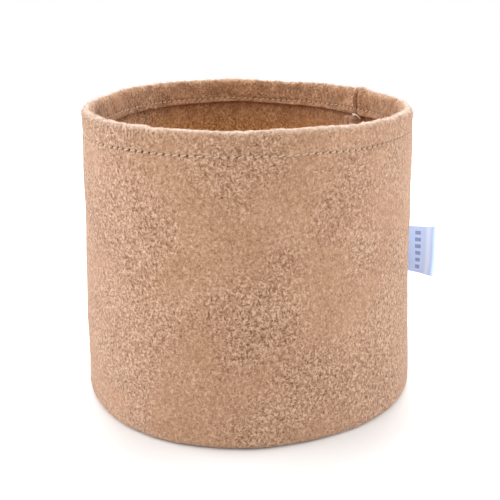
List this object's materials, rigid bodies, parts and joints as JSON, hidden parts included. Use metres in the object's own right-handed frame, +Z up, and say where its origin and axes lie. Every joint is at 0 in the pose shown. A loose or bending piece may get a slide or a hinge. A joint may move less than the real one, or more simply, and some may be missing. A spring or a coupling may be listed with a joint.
{
  "type": "fabric grow bag",
  "caption": "Open-topped cylindrical grow bag of sewn tan felt with a folded, stitched rim, a turned-up base seam and a small ribbon label on its side.",
  "frame": {"origin": "centre of the base's underside, on the surface the bag stands on", "axes": "+Z up through the open mouth, -Y towards the front, +X towards the side that carries the label"},
  "size_m": [0.2242, 0.2058, 0.18],
  "materials": {
    "felt": "matte",
    "thread": "matte",
    "satin": "satin"
  },
  "bodies": {
    "bag": {"wall_panel": "felt", "base_panel": "felt", "hem_needle_thread": "thread", "hem_bobbin_thread": "thread", "hem_tack_needle_thread": "thread", "hem_tack_bobbin_thread": "thread", "side_seam_needle_thread": "thread", "side_seam_bobbin_thread": "thread", "base_seam_needle_thread": "thread", "base_seam_bobbin_thread": "thread", "label_needle_thread": "thread", "label_bobbin_thread": "thread", "label_foot": "satin"},
    "label": {"label_flag": "satin"}
  },
  "joints": [
    {"name": "label_swing", "type": "hinge", "parent": "bag", "child": "label", "pos_m": [0.10193, 0.00981, 0.084], "axis": [-0.0166, -0.0016, 0.9999], "range_deg": [-30, 90], "stiffness_Nm_per_rad": 0.0005}
  ]
}
